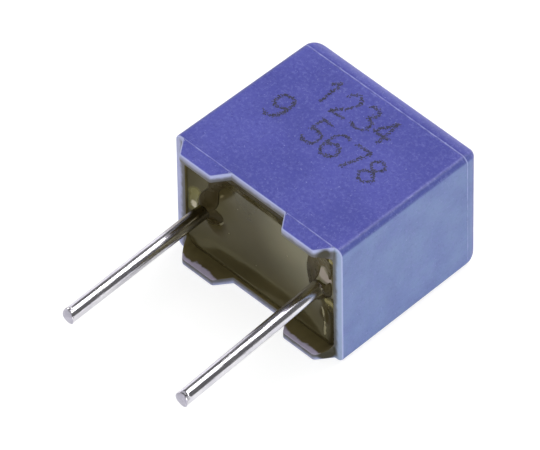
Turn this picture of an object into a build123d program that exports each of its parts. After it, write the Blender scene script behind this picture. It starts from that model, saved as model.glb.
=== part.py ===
from build123d import *
import math
import os

# Box-type film capacitor with two wires, lying on one of its large faces.
#
# Every piece is drawn in the moulding frame of the case: X runs along the lead row, Y from the
# seating plane (the tips of the stand-off feet) towards the closed end, and Z through the
# thickness. The middle of the lead row is X = 0 and the middle of the thickness is Z = 0.
# The finished pieces are then laid down together, so that the lower large face is flat on
# Z = 0, with the origin in the middle of that face's length and height.

# Moulded case
CASE_LENGTH = 7.2  # along the lead row
CASE_THICKNESS = 5.0
BODY_HEIGHT = 6.2  # from the rim to the closed end
DRAFT_ANGLE = 0.5  # each wall leans in towards the closed end
LONG_EDGE_RADIUS = 0.25
CLOSED_END_RADIUS = 0.65
CLOSED_END_FLAT = 0.005  # the rolled end is cut flat this far below its full round
SIDE_WALL = 0.38
LARGE_WALL = 0.30
END_WALL = 0.45
CAVITY_CORNER_RADIUS = 0.35
CAVITY_FLOOR_RADIUS = 0.4
RIM_EDGE_RADIUS = 0.06

# Stand-off feet, two on each large wall
FOOT_HEIGHT = 0.55
FOOT_TIP_LENGTH = 1.32
FOOT_BASE_LENGTH = 2.12
FOOT_END_GAP = 0.33  # from the short side of the case to the foot's base
FOOT_CORNER_RADIUS = 0.14
FOOT_BEVEL = 0.025  # how far the outer face of a foot leans in at its tip

# Wires
LEAD_PITCH = 5.0
LEAD_DIAMETER = 0.5
LEAD_BEND_RADIUS = 6.0
LEAD_WELD_END = 5.0  # how far the wire reaches into the case, from the seating plane
LEAD_BEND_START = 0.4  # the wire leans from here on, just outside the rim
SHEAR_ANGLE = 14.0  # the cut end leans up towards the marked face

# Potting resin
RESIN_RIM_GAP = 0.06  # the resin stops this far below the rim
RESIN_DEPTH = 0.5  # from the rim to the middle of the hollow surface
MENISCUS_RADIUS = 0.42
DISH_CORNER_RADIUS = 0.55
COLLAR_RADIUS = 0.34
COLLAR_LIP = 0.02  # the collar ends in a narrow flat ring round the wire

# Film winding and its sprayed metal ends
SPRAY_THICKNESS = 0.2
WINDING_START = 1.45  # from the seating plane
WINDING_HEIGHT = 4.4
WINDING_THICKNESS = 3.7
WINDING_ROUND = 1.75
SPRAY_INSET = 0.08

CASE_HEIGHT = FOOT_HEIGHT + BODY_HEIGHT
FOOT_MIDDLE = CASE_LENGTH / 2 - FOOT_END_GAP - FOOT_BASE_LENGTH / 2
DRAFT_SLOPE = math.tan(math.radians(DRAFT_ANGLE))


def along_y(sketch, start, amount, taper=0.0):
    """A sketch of the XZ outline, pushed from Y = start by amount towards the closed end."""
    return extrude(Plane.XZ.offset(-start) * sketch, amount=-amount, taper=taper)


def laid_down(piece):
    """Turns the drafted case onto its lower face and puts the origin in the middle of it."""
    half = CASE_THICKNESS / 2
    tilt = math.radians(DRAFT_ANGLE)
    to_middle = -CASE_HEIGHT / 2
    return Location((0, to_middle, half * math.cos(tilt)), (-DRAFT_ANGLE, 0, 0)) * piece


def foot_outline(side):
    """Trapezoid of one foot in the XY plane, running on into the wall below the rim."""
    middle = side * FOOT_MIDDLE
    base = FOOT_BASE_LENGTH / 2
    tip = FOOT_TIP_LENGTH / 2
    points = [
        (middle - base, FOOT_HEIGHT),
        (middle - tip, 0),
        (middle + tip, 0),
        (middle + base, FOOT_HEIGHT),
    ]
    shape = make_face(Polyline(*points, close=True))
    tips = shape.vertices().sort_by(Axis.Y)[:2]
    return fillet(tips, FOOT_CORNER_RADIUS)


def above_rim():
    """What is cut away between the rim and the seating plane, around the feet."""
    strip = Pos(0, FOOT_HEIGHT / 2) * Rectangle(2 * CASE_LENGTH, FOOT_HEIGHT)
    strip -= foot_outline(-1)
    strip -= foot_outline(1)
    between_feet = extrude(strip, amount=CASE_THICKNESS, both=True)
    inside = CASE_THICKNESS - 2 * LARGE_WALL
    side_x = CASE_LENGTH / 2 - SIDE_WALL / 2
    over_sides = [
        Pos(side * side_x, FOOT_HEIGHT / 2, 0) * Box(SIDE_WALL, FOOT_HEIGHT, inside)
        for side in (-1, 1)
    ]
    return [between_feet] + over_sides


def foot_bevels():
    """Thin wedges that lean the outer faces of the feet in from the rim to the tips."""
    half = CASE_THICKNESS / 2
    at_rim = half - FOOT_HEIGHT * DRAFT_SLOPE
    wedge = Polyline(
        (FOOT_HEIGHT, at_rim),
        (0, at_rim - FOOT_BEVEL),
        (0, half + LARGE_WALL),
        (FOOT_HEIGHT, half + LARGE_WALL),
        close=True,
    )
    upper = extrude(Plane.YZ * make_face(wedge), amount=CASE_LENGTH, both=True)
    return [upper, mirror(upper, Plane.XY)]


def cavity(start):
    """The inside of the case from Y = start down to its floor."""
    lean = start * DRAFT_SLOPE
    length = CASE_LENGTH - 2 * (SIDE_WALL + lean)
    thickness = CASE_THICKNESS - 2 * (LARGE_WALL + lean)
    depth = CASE_HEIGHT - END_WALL - start
    outline = RectangleRounded(length, thickness, CAVITY_CORNER_RADIUS)
    hollow = along_y(outline, start, depth, taper=DRAFT_ANGLE)
    floor = hollow.faces().sort_by(Axis.Y)[-1]
    return fillet(floor.edges(), CAVITY_FLOOR_RADIUS)


def drafted_block(height):
    """Block from Y = 0 to Y = height, with four flat walls that lean in by the draft angle."""
    corner = 90 - DRAFT_ANGLE
    front = Pos(0, height / 2) * Trapezoid(CASE_LENGTH, height, corner)
    side = Plane.ZY * Pos(0, height / 2) * Trapezoid(CASE_THICKNESS, height, corner)
    across = extrude(front, amount=CASE_THICKNESS, both=True)
    return across & extrude(side, amount=CASE_LENGTH, both=True)


def outer_form():
    """The drafted block with a rolled closed end and rounded long edges."""
    block = drafted_block(CASE_HEIGHT + CLOSED_END_FLAT)
    closed_end = block.faces().sort_by(Axis.Y)[-1]
    block = fillet(closed_end.edges(), CLOSED_END_RADIUS)
    corners = [
        edge for edge in block.edges() if edge.bounding_box().size.Y > CLOSED_END_RADIUS / 2
    ]
    flat = Pos(0, CASE_HEIGHT + CLOSED_END_FLAT, 0) * Box(
        2 * CASE_LENGTH, 2 * CLOSED_END_FLAT, 2 * CASE_THICKNESS
    )
    return fillet(corners, LONG_EDGE_RADIUS) - flat


def soften_rim(body):
    """Rounds the outer edges of the rim and feet, but not the faint crease below each foot."""
    near_x = CASE_LENGTH / 2 - 2 * RIM_EDGE_RADIUS
    near_z = CASE_THICKNESS / 2 - RIM_EDGE_RADIUS
    outer = []
    for edge in body.edges():
        middle = edge.center()
        at_mouth = edge.bounding_box().max.Y < FOOT_HEIGHT + RIM_EDGE_RADIUS
        on_outside = abs(middle.Z) > near_z or abs(middle.X) > near_x
        below_foot = abs(abs(middle.X) - FOOT_MIDDLE) < FOOT_TIP_LENGTH / 2
        crease = below_foot and middle.Y > FOOT_HEIGHT / 2
        if at_mouth and on_outside and not crease:
            outer.append(edge)
    return fillet(outer, RIM_EDGE_RADIUS)


def make_case():
    body = outer_form() - cavity(0)
    for cutter in above_rim() + foot_bevels():
        body -= cutter
    return soften_rim(body)


def lead_path(lead):
    """Centre line of one wire, from its welded end to its cut end."""
    x = lead["side"] * LEAD_PITCH / 2
    z = lead["offset"]
    tip = (x + lead["sway"], -lead["length"], z - lead["droop"])
    return FilletPolyline(
        (x, LEAD_WELD_END, z),
        (x, LEAD_BEND_START, z),
        tip,
        radius=LEAD_BEND_RADIUS,
    )


def make_lead(lead):
    path = lead_path(lead)
    start = Plane(origin=path @ 0, z_dir=path % 0)
    wire = sweep(start * Circle(LEAD_DIAMETER / 2), path=path)
    reach = 4 * LEAD_DIAMETER
    cutter = Box(reach, reach, reach, align=(Align.CENTER, Align.MAX, Align.CENTER))
    return wire - Location(path @ 1, (-SHEAR_ANGLE, 0, lead["skew"])) * cutter


def lead_collar(lead):
    """Resin drawn up round one wire, with a hollow flank."""
    lip = LEAD_DIAMETER / 2 + COLLAR_LIP
    foot = FOOT_HEIGHT + RESIN_DEPTH
    outer = lip + COLLAR_RADIUS
    block = make_face(
        Polyline(
            (0, foot + COLLAR_RADIUS),
            (outer, foot + COLLAR_RADIUS),
            (outer, foot),
            (lip, foot - COLLAR_RADIUS),
            (0, foot - COLLAR_RADIUS),
            close=True,
        )
    )
    flank = Pos(outer, foot - COLLAR_RADIUS) * Circle(COLLAR_RADIUS)
    collar = revolve(block - flank, Axis.Y)
    return Pos(lead["side"] * LEAD_PITCH / 2, 0, lead["offset"]) * collar


def resin_dish():
    """The hollow in the front of the resin, with its edge climbing the walls."""
    margin = RESIN_RIM_GAP
    length = CASE_LENGTH - 2 * SIDE_WALL - margin
    thickness = CASE_THICKNESS - 2 * LARGE_WALL - margin
    outline = RectangleRounded(length, thickness, DISH_CORNER_RADIUS)
    dish = along_y(outline, 0, FOOT_HEIGHT + RESIN_DEPTH)
    bottom = dish.faces().sort_by(Axis.Y)[-1]
    return fillet(bottom.edges(), MENISCUS_RADIUS)


def make_potting_resin(leads, inner_pieces):
    resin = cavity(FOOT_HEIGHT + RESIN_RIM_GAP) - resin_dish()
    for lead in leads:
        resin += lead_collar(lead)
    for piece in inner_pieces:
        resin -= piece
    return resin


def winding_outline(inset=0.0):
    """Cross-section of the flattened winding, in the YZ plane."""
    height = WINDING_HEIGHT - 2 * inset
    thickness = WINDING_THICKNESS - 2 * inset
    middle = WINDING_START + WINDING_HEIGHT / 2
    return Pos(middle, 0) * RectangleRounded(height, thickness, WINDING_ROUND - inset)


def make_film_winding():
    width = LEAD_PITCH - LEAD_DIAMETER - 2 * SPRAY_THICKNESS
    return extrude(Plane.YZ * winding_outline(), amount=width / 2, both=True)


def make_end_contact(side, wire):
    """Sprayed metal end of the winding, with the wire sunk into it where it is welded."""
    inner_x = LEAD_PITCH / 2 - LEAD_DIAMETER / 2 - SPRAY_THICKNESS
    outer_x = inner_x + SPRAY_THICKNESS + LEAD_DIAMETER / 4
    outline = Plane.YZ * winding_outline(SPRAY_INSET)
    contact = Pos(side * inner_x, 0, 0) * extrude(outline, amount=side * (outer_x - inner_x))
    return contact - wire


# How each wire lies: offset is its height above the middle of the thickness where it is
# welded, and its free end is bent by sway to +X and by droop towards the resting face.
# Skew turns its cut end to the side, in degrees.
LEFT_LEAD = {"side": -1, "offset": -0.26, "length": 5.31, "sway": 0.08, "droop": 0.13, "skew": -6}
RIGHT_LEAD = {"side": 1, "offset": 0.085, "length": 5.4, "sway": 0.12, "droop": 0.265, "skew": 8}

lead_left = make_lead(LEFT_LEAD)
lead_right = make_lead(RIGHT_LEAD)
film_winding = make_film_winding()
end_contact_left = make_end_contact(-1, lead_left)
end_contact_right = make_end_contact(1, lead_right)
inner_pieces = [film_winding, end_contact_left, end_contact_right, lead_left, lead_right]

nodes = {
    "case": make_case(),
    "potting_resin": make_potting_resin([LEFT_LEAD, RIGHT_LEAD], inner_pieces),
    "film_winding": film_winding,
    "end_contact_left": end_contact_left,
    "end_contact_right": end_contact_right,
    "lead_left": lead_left,
    "lead_right": lead_right,
}

os.makedirs("parts", exist_ok=True)
for name, piece in nodes.items():
    export_step(laid_down(piece), f"parts/{name}.step")
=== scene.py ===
import bmesh
import bpy
import math
import numpy as np
from mathutils import Matrix, Vector


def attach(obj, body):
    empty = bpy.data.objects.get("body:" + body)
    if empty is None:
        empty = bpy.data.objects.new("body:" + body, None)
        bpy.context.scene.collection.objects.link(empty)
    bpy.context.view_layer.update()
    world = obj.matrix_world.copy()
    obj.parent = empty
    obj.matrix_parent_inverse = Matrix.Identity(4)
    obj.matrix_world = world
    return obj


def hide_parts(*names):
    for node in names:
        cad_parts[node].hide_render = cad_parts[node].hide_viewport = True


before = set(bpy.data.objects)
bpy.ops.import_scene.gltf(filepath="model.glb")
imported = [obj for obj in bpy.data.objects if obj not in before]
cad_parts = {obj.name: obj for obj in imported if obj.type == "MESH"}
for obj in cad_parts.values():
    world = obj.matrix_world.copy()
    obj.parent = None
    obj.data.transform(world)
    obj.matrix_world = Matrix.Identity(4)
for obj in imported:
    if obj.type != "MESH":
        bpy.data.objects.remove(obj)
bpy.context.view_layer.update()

# Lengths are millimetres in the moulding frame of the case, as in the part's source: X runs
# along the lead row, Y from the seating plane (the tips of the feet) to the closed end, and Z
# through the thickness. The function laid_down turns points into the row frame, in metres.
MM = 0.001

# Case
CASE_LENGTH = 7.2
CASE_THICKNESS = 5.0
CASE_HEIGHT = 6.75
DRAFT = math.radians(0.5)
LEAN = math.tan(DRAFT)
LONG_EDGE = 0.25  # radius of the four long edges
CLOSED_EDGE = 0.65  # radius of the rolled closed end
SIDE_WALL = 0.38
LARGE_WALL = 0.30
INNER_X = CASE_LENGTH / 2 - SIDE_WALL  # half-widths of the cavity at the seating plane
INNER_Z = CASE_THICKNESS / 2 - LARGE_WALL
CAVITY_FLOOR = 6.3
CAVITY_CORNER = 0.35
FLOOR_EDGE = 0.4
RIM = 0.55  # the rim lies this far behind the tips of the feet
RIM_EDGE = 0.06
INNER_EDGE = 0.03
FOOT_MIDDLE = 2.21
FOOT_TIP = 1.32
FOOT_BASE = 2.12
FOOT_CORNER = 0.14
BASE_CORNER = 0.05
FOOT_BEVEL = 0.025
FOOT_LINE = 0.6  # faint moulding line across the feet, just behind the rim
PARTING_GROOVE = 0.004  # faint groove where the walls meet the rolled end

# Mesh of the case. Steps along its cross-section, from the middle of a large wall to that of an end
RUN_STEPS = 14
BASE_STEPS = 5
SIDE_STEPS = 7
TIP_STEPS = 9
END_STEPS = 2
CORNER_STEPS = 12
END_SHARES = [0.985, *np.linspace(0.93, 0, 10)]  # and down the end wall, as shares of its half-thickness
CORNER_BY_FOOT = 75.0  # degrees of the cavity's corner that lie behind the outer slope of a foot
LEAST_CORNER = 0.05
# Rings from the closed end to the cavity's floor: angles in degrees, heights along Y
ROLL_ANGLES = (88, 82, 76, 70, 64, 58, 52, 46, 40, 34, 28, 22, 16, 11, 7)
GROOVE_RINGS = ((5, 0.25), (3.6, 0.8), (2.4, 1), (1.2, 0.8), (0.5, 0.25))  # angle, share of the depth
FLAT_SHARE = 0.97
BELOW_ROLL = (0.03, 0.12)
WALL_HEIGHTS = (5.6, 4.8, 4.0, 3.2, 2.4, 1.7, 1.15, 0.85)
BESIDE_RIM = ((0.012, 0.03), (0, 0.02), (-0.012, 0.01))  # offset from the rim, least gap to the edge
EDGE_GAP = 0.02
RIM_ANGLES = (0, 18, 36, 54, 72, 90)
INNER_ANGLES = (0, 30, 60, 90)
INNER_GAP = 0.005
CAVITY_HEIGHTS = (0.62, 0.7, 0.85, 1.2, 2.0, 3.2, 4.4, 5.4)
FLOOR_ANGLES = (0, 15, 30, 45, 60, 75, 90)

# Wires
LEAD_RADIUS = 0.25
BEND_START = 0.4
BEND_RADIUS = 6.0
WELD_END = 5.0
SHEAR_ANGLE = math.radians(14)
BURR = 0.035  # the cutters left each end a little pointed on one side
BURR_WAY = (0.63, 0.0, -0.77)
BURR_SHARPNESS = 6
WIRE_SIDES = 56
WELD_STEPS = 9
BEND_STEPS = 6
OUTER_STEPS = 40
OUTER_SHARE = 0.985  # the outer run stops this far towards the tip, before the cut end's own rings
CUT_RINGS = ((0, 0.03), (0.006, 0.012), (0.02, 0.002), (0.045, 0))  # inset and setback of the cut edge
CUT_DEPTH = 0.04
CUT_INSETS = (0.3, 0.6, 0.85)  # rings across the cut face, as shares of the one before
LEADS = {
    "left_wire": {"x": -2.5, "z": -0.26, "length": 5.31, "sway": 0.08, "droop": 0.13, "skew": -6},
    "right_wire": {"x": 2.5, "z": 0.085, "length": 5.4, "sway": 0.12, "droop": 0.265, "skew": 8},
}

# Resin
RESIN_MIDDLE = 1.1  # how far behind the seating plane the hollow surface lies
RESIN_EDGE = 0.65  # where it ends on the walls
RESIN_ON_WIRE = 0.66  # where it ends on the wires
CLIMB_LENGTH = 0.57  # how fast it falls away from a wall
COLLAR_LENGTH = 0.3  # how fast it falls away from a wire
BANK_WIDTH = 0.6  # a steeper bank of resin along the lower wall
BANK_SLOPE = 0.22
BANK_SOFTNESS = 0.03
UPPER_BANK_WIDTH = 1.1  # and a gentler one below the upper wall
UPPER_BANK_SLOPE = 0.2
RESIN_GAP = 0.002  # between the resin's skirt and the cavity's wall
FIELD_COLUMNS = 180
FIELD_ROWS = 112
BORDER = 0.5  # width of the border round the fine field
BORDER_RINGS = 18
BORDER_EASE = 1.6
CORNER_EASE = 6
SKIRT_RINGS = ((1.0, 0), (3.0, 0), (5.5, 0), (6.1, 0.1), (CAVITY_FLOOR - 0.01, 0.4))  # height, shrink
# Rises of the surface and painted light on it: start and end as (X, Z), half-width, rise towards the
# mouth, colour, roughness. The colours paint glows, highlights, reflections and shade onto the resin.
# Colour of painted shade on the resin
RESIN_SHADE = (0.024, 0.018, 0.006)
RESIN_RISES_AND_PAINTED_LIGHT = [
    # painted olive glow by the left wall
    ((-2.98, 0.15), (-3.02, -0.5), 0.17, 0.0, (0.16, 0.145, 0.045), 0.3),
    # painted highlight by the left wall, on a small rise
    ((-3.0, -0.34), (-3.02, -0.46), 0.06, 0.03, (0.7, 0.65, 0.5), 0.3),
    # painted highlight along the edge of a web
    ((-2.0, -0.62), (-2.25, -0.92), 0.025, 0.0, (0.2, 0.18, 0.11), 0.2),
    # ridge with a painted pinkish reflection
    ((2.5, 0.6), (2.74, 0.54), 0.16, 0.04, (0.34, 0.29, 0.26), 0.4),
    # ridge with a painted yellow glow
    ((2.45, 1.6), (2.95, 1.5), 0.1, 0.05, (0.25, 0.21, 0.06), 0.3),
    # painted yellow glow
    ((2.55, -0.66), (2.85, -0.5), 0.14, 0.0, (0.3, 0.26, 0.11), 0.3),
    # thin ridge with a painted highlight
    ((2.36, -1.2), (2.7, -1.95), 0.02, 0.03, (0.3, 0.27, 0.17), 0.2),
    # dent with painted shade
    ((2.8, -1.1), (2.98, -2.1), 0.13, -0.03, RESIN_SHADE, 0.4),
    # painted shade under the upper wall
    ((-1.3, 2.15), (0.9, 2.0), 0.62, 0.0, RESIN_SHADE, 0.4),
]
# Thin dark sheets on that surface, webs of resin and, last, a sheet of painted shade under the upper
# wall: outline as (X, Z), middle, thickness
WEBS_AND_SHADE = [
    ([(-1.8, 1.62), (-1.14, 2.16), (-1.08, 1.96), (-1.72, 1.18), (-1.95, 0.92), (-2.13, 0.65),
      (-2.13, 0.39), (-2.1, 0.12), (-2.2, -0.1), (-2.5, -0.2), (-2.78, -0.11), (-2.82, 0.08),
      (-2.74, 0.29), (-2.54, 0.59), (-2.5, 0.87)], (-2.3, 0.6), 0.05),
    ([(-2.37, -0.1), (-2.17, -0.06), (-2.05, -0.17), (-1.95, -0.31), (-1.95, -0.53), (-2.19, -0.86),
      (-2.46, -0.95), (-2.66, -0.85), (-2.7, -0.5)], (-2.25, -0.5), 0.03),
    ([(1.73, 0.66), (2.06, 1.01), (2.3, 1.0), (2.34, 0.8), (2.38, 0.49), (2.3, 0.2), (2.2, -0.05),
      (1.79, -0.7), (1.66, -0.25), (1.63, 0.22)], (2.0, 0.3), 0.025),
    ([(2.0, 1.0), (2.4, 1.25), (2.78, 1.7), (2.9, 1.53), (2.93, 0.98), (2.91, 0.68), (2.84, 0.6),
      (2.68, 0.84), (2.44, 0.82), (2.27, 0.74)], (2.6, 1.12), 0.035),
    ([(1.77, -0.65), (2.1, -0.2), (2.25, 0.2), (2.47, 0.36), (2.74, 0.34), (2.9, 0.5), (2.98, 0.24),
      (2.93, -0.09), (2.6, -0.5), (2.3, -0.86), (1.95, -1.14), (1.72, -1.16)], (2.35, -0.2), 0.045),
    # Last: a dark sheet of painted shade under the upper wall
    ([(-1.25, 2.14), (-1.25, 1.98), (-0.7, 1.93), (-0.25, 1.92), (0.06, 1.8), (0.22, 1.5), (0.34, 1.22),
      (0.46, 1.06), (0.62, 1.12), (0.86, 1.45), (1.15, 1.75), (1.6, 1.93), (2.1, 2.04), (2.0, 2.14),
      (1.2, 2.16), (0.3, 2.16), (-0.6, 2.16)], (0.45, 1.83), 0.02),
]
WEB_CURVE_STEPS = 7
WEB_RINGS = [  # share of the outline, rise as a share of the thickness
    (0.9, -0.04), (1.0, -0.02), (0.985, 0.3), (0.96, 0.6), (0.92, 0.85), (0.85, 1.0),
    *((share, 1.0) for share in np.linspace(0.8, 0.02, 22)),
]
# Places in the row frame, in millimetres
# Centre of the painted reflection that lightens the resin towards the upper right
REFLECTION_PLACE = (1.5, -2.35, 3.2)
SPILLS = [((3.0, -3.0, 4.75), 0.24), ((3.08, -3.02, 0.3), 0.3)]  # resin run over the rim: place, reach
FILM_ON_LEFT = -4.4  # where the thin film of resin on each wire begins, along Y
FILM_ON_RIGHT = -3.45

# Figures printed on the upper face
FIGURE_HEIGHT = 1.05
FIGURE_PITCH = 0.8
STROKE = 0.07  # how far ink dots stray from the middle of a stroke
DOT_GAP = 0.011
DOT_RADIUS = 0.03
DOT_SIDES = 8
DOT_SPREAD = (0.5, 1.15)  # how much the dots differ in size
DOT_WOBBLE = (0.85, 1.15)  # and each of them along its edge
INK_HEIGHT = 0.004
INK_RINGS = ((-0.003, 1.0), (INK_HEIGHT * 0.6, 0.9), (INK_HEIGHT, 0.6))  # height, share of the radius
INK_SEED = 11
CURVE_STEPS = 6
# Each row: figures, X and Y of its start, slant in degrees
FIGURE_ROWS = [("1234", -1.75, 4.6, 3), ("5678", -0.85, 3.1, 3), ("9", -2.45, 3.1, 0)]

# Colours, as linear red, green and blue
PLASTIC = {
    # end wall sheen: the end walls drawn paler and more cyan, a painted sheen of the light they reflect
    "deep": (0.055, 0.061, 0.315), "clear": (0.072, 0.078, 0.365), "end wall sheen": (0.185, 0.265, 0.47),
    # shaded slanted edge: painted shade on the rounded long edges
    "shaded slanted edge": (0.055, 0.075, 0.24), "pale grain": (0.2, 0.21, 0.55),
    "dark grain": (0.035, 0.04, 0.24), "speck": (0.4, 0.42, 0.7), "scratch": (0.28, 0.3, 0.6),
    # Painted light: a highlight along the moulding lines, reflection on the rim faces, a highlight on the
    # rim's outer edge
    "moulding line highlight": (0.4, 0.43, 0.72), "rim": (0.36, 0.38, 0.54), "left rim reflection": (0.425, 0.45, 0.68),
    "right rim reflection": (0.37, 0.465, 0.66), "rim edge highlight": (0.5, 0.54, 0.8),
    "resin film": (0.07, 0.062, 0.035), "spilled resin": (0.035, 0.03, 0.012),
}
COATING = {
    "thin film": (0.075, 0.056, 0.022), "thick film": (0.15, 0.125, 0.055),
    "bare": (0.46, 0.41, 0.55), "gloss": (1.0, 0.93, 0.68),
}
RESIN = {
    "dark": (0.036, 0.028, 0.01), "light": (0.062, 0.05, 0.02), "milky": (0.2, 0.185, 0.115),
    "bubble": (0.35, 0.32, 0.2), "gloss": (1.0, 0.95, 0.6),
}
WEB = {
    "dark": (0.026, 0.019, 0.007), "light": (0.044, 0.034, 0.013), "lit streak": (0.08, 0.064, 0.027),
    "gloss": (1.0, 0.85, 0.5),
}
TIN = {
    "bright": (0.92, 0.9, 0.94), "dull": (0.78, 0.76, 0.82), "torn, dark": (0.42, 0.4, 0.5),
    "torn, bright": (0.85, 0.82, 0.9), "resin film": (0.13, 0.105, 0.05),
}
INK = ((0.05, 0.05, 0.12), (0.032, 0.03, 0.045))  # thin, thick
FILM_EDGES = ((0.5, 0.51, 0.53), (0.6, 0.61, 0.63))  # dark, bright
SPRAY = ((0.34, 0.34, 0.35), (0.5, 0.5, 0.51))
WHITE = (1.0, 1.0, 1.0)
SCRATCH_WAYS = ((1.0, 9.0, 9.0), (9.0, 1.2, 9.0))  # stretch of the noise, along X and along Y
NOISE_RANGE = (0.3, 0.7)  # what most of a noise lies between

# Camera, at the photograph's viewing angle
CAMERA_PLACE = (0.144121, -0.140883, 0.221637)
CAMERA_RIGHT = (0.70657917, 0.70741865, -0.01745671)
CAMERA_UP = (-0.51370486, 0.52974921, 0.67488747)
CAMERA_BACK = (0.48667566, -0.46789383, 0.73771415)
CAMERA_LENS = 643.1
SENSOR_WIDTH = 36.0

# Studio surroundings as panels of light: centre, the direction its height runs along, half-width,
# half-height and soft edge as slopes, and what it adds in red, green and blue
PANELS = [
    ((0.05, 0.47, 0.88), (0, 1, 0), 0.3, 0.5, 0.05, (2.6, 2.6, 2.6)),
    ((0.05, 0.47, 0.88), (0, 1, 0), 0.05, 0.06, 0.02, (25.0, 25.0, 25.0)),
    ((-1.0, 0.3, 0.1), (0, 0, 1), 1.6, 0.38, 0.08, (0.85, 0.83, 0.9)),
    ((0.0, 1.0, 0.1), (0, 0, 1), 1.0, 0.4, 0.2, (0.8, 0.8, 0.85)),
    ((0.645, -0.758, 0.25), (0, 0, 1), 0.09, 0.09, 0.03, (18.0, 18.0, 18.0)),
    ((0.0, 0.0, -1.0), (0, 1, 0), 3.0, 3.0, 0.5, (0.7, 0.7, 0.7)),
]
AMBIENT = 0.13

# Soft lamps that give matt light only: direction they shine from, strength, colour, angle
FILLS = {
    "upper_fill": ((0.1, 0.3, 1.0), 0.68, (1.0, 1.0, 1.0), 1.2),
    "front_fill": ((-0.35, -1.0, 0.3), 1.2, (1.0, 0.98, 0.95), 1.2),
    "side_fill": ((1.0, 0.0, 0.25), 1.3, (0.9, 1.0, 0.98), 1.2),
}

# Floor
FLOOR_REACH = 1.0
FLOOR_HEIGHT = -0.01 * MM
CONTACT_GAP = 0.03 * MM  # the floor passes light to what lies this close to it
FLOOR_MATT = 0.8
FLOOR_SEEN = (0.8, 0.3)  # glow and matt white of the floor, seen straight
FLOOR_MIRRORED = (0.28, 0.6)  # and seen in a reflection


def laid_down(points):
    """Points of the moulding frame, in millimetres, in the row frame, in metres."""
    x, y, z = np.moveaxis(np.asarray(points, dtype=float), -1, 0)
    turned_y = y * math.cos(DRAFT) + z * math.sin(DRAFT) - CASE_HEIGHT / 2
    turned_z = z * math.cos(DRAFT) - y * math.sin(DRAFT) + CASE_THICKNESS / 2 * math.cos(DRAFT)
    return np.stack([x, turned_y, turned_z], axis=-1) * MM


def new_object(name, data):
    made = bpy.data.objects.new(name, data)
    bpy.context.collection.objects.link(made)
    return made


def add_piece(name, points, faces, materials, nodes=(), second_from=None):
    """A smooth mesh that rides on the root and stands for the given CAD nodes."""
    mesh = bpy.data.meshes.new(name)
    mesh.from_pydata(laid_down(points).reshape(-1, 3).tolist(), [], faces)
    for material in materials:
        mesh.materials.append(material)
    if second_from is not None:
        for polygon in mesh.polygons[second_from:]:
            polygon.material_index = 1
    shape = bmesh.new()
    shape.from_mesh(mesh)
    bmesh.ops.recalc_face_normals(shape, faces=shape.faces)
    for face in shape.faces:
        face.smooth = True
    shape.to_mesh(mesh)
    shape.free()
    piece = new_object(name, mesh)
    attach(piece, "root")
    if nodes:
        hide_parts(*nodes)


def ring_faces(rings, count, first=0):
    """Quads between closed rings of count points each, numbered from first."""
    faces = []
    for ring in range(rings - 1):
        start = first + ring * count
        for k in range(count):
            after = (k + 1) % count
            faces.append((start + k, start + after, start + count + after, start + count + k))
    return faces


def capped_rings(rings, count, first=0):
    """The same, closed by one face at either end."""
    last = first + (rings - 1) * count
    caps = [tuple(range(first, first + count)), tuple(range(last, last + count))]
    return ring_faces(rings, count, first) + caps


def walk(start, moves):
    """Points and headings along straight runs (length, 0, steps) and arcs (radius, turn, steps)."""
    x, y = start
    heading = 0.0
    points = [(x, y, heading)]
    for size, turn, steps in moves:
        step = turn / steps
        stride = 2 * size * math.sin(abs(step) / 2) if turn else size / steps
        for _ in range(steps):
            x += stride * math.cos(heading + step / 2)
            y += stride * math.sin(heading + step / 2)
            heading += step
            points.append((x, y, heading))
    return np.array(points)


def mirrored_ring(quarter):
    """A whole ring from its quarter, which runs from X = 0 on the upper wall to Z = 0."""
    flip_x, flip_z, opposite = (quarter * way for way in ((-1, 1, 1), (1, 1, -1), (-1, 1, -1)))
    return np.concatenate([quarter, flip_z[::-1][1:], opposite[1:], flip_x[::-1][1:-1]])


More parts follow.
